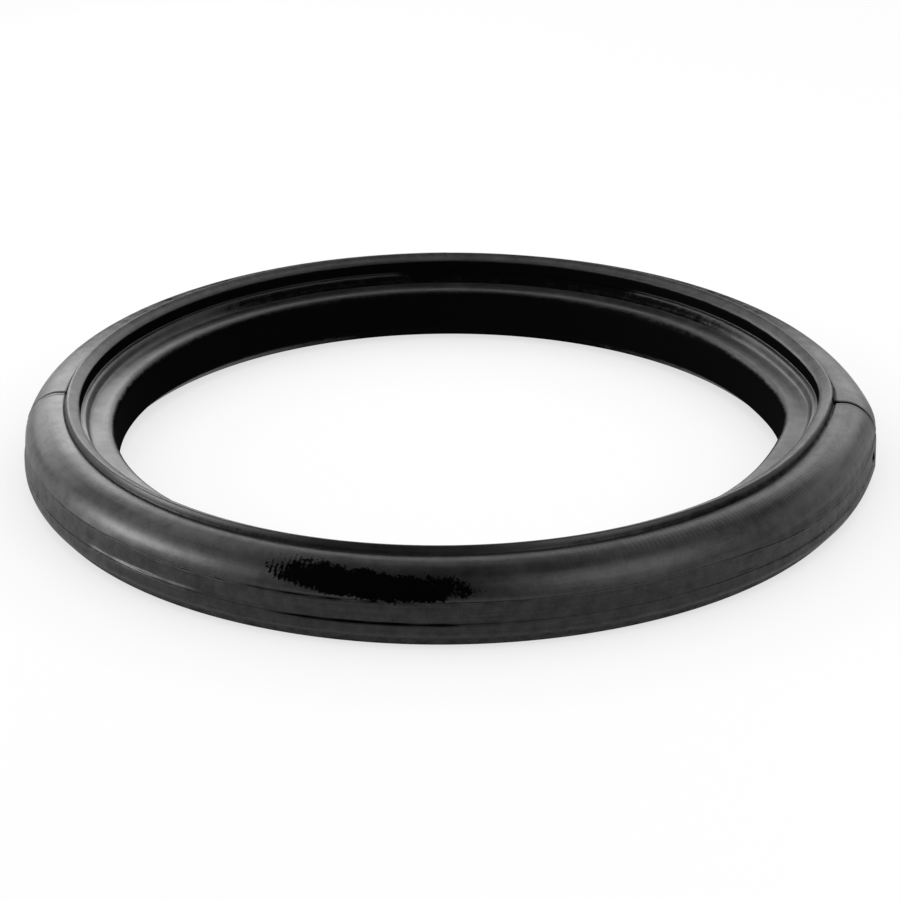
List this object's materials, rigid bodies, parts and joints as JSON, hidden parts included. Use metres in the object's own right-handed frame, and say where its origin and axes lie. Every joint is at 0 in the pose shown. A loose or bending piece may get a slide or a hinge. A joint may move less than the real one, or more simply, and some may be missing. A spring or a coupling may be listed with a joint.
{
  "type": "flush pipe seal",
  "caption": "Moulded black rubber ring seal with a rounded outer bead and a stepped inner lip, for a flush pipe in a round inlet.",
  "frame": {"origin": "centre of the flat underside", "axes": "+Z along the pipe's axis, from the underside up to the crown"},
  "size_m": [0.0562, 0.0562, 0.0055],
  "materials": {
    "rubber": "satin black moulded rubber"
  },
  "bodies": {
    "root": {"seal_ring": "rubber"}
  },
  "joints": []
}
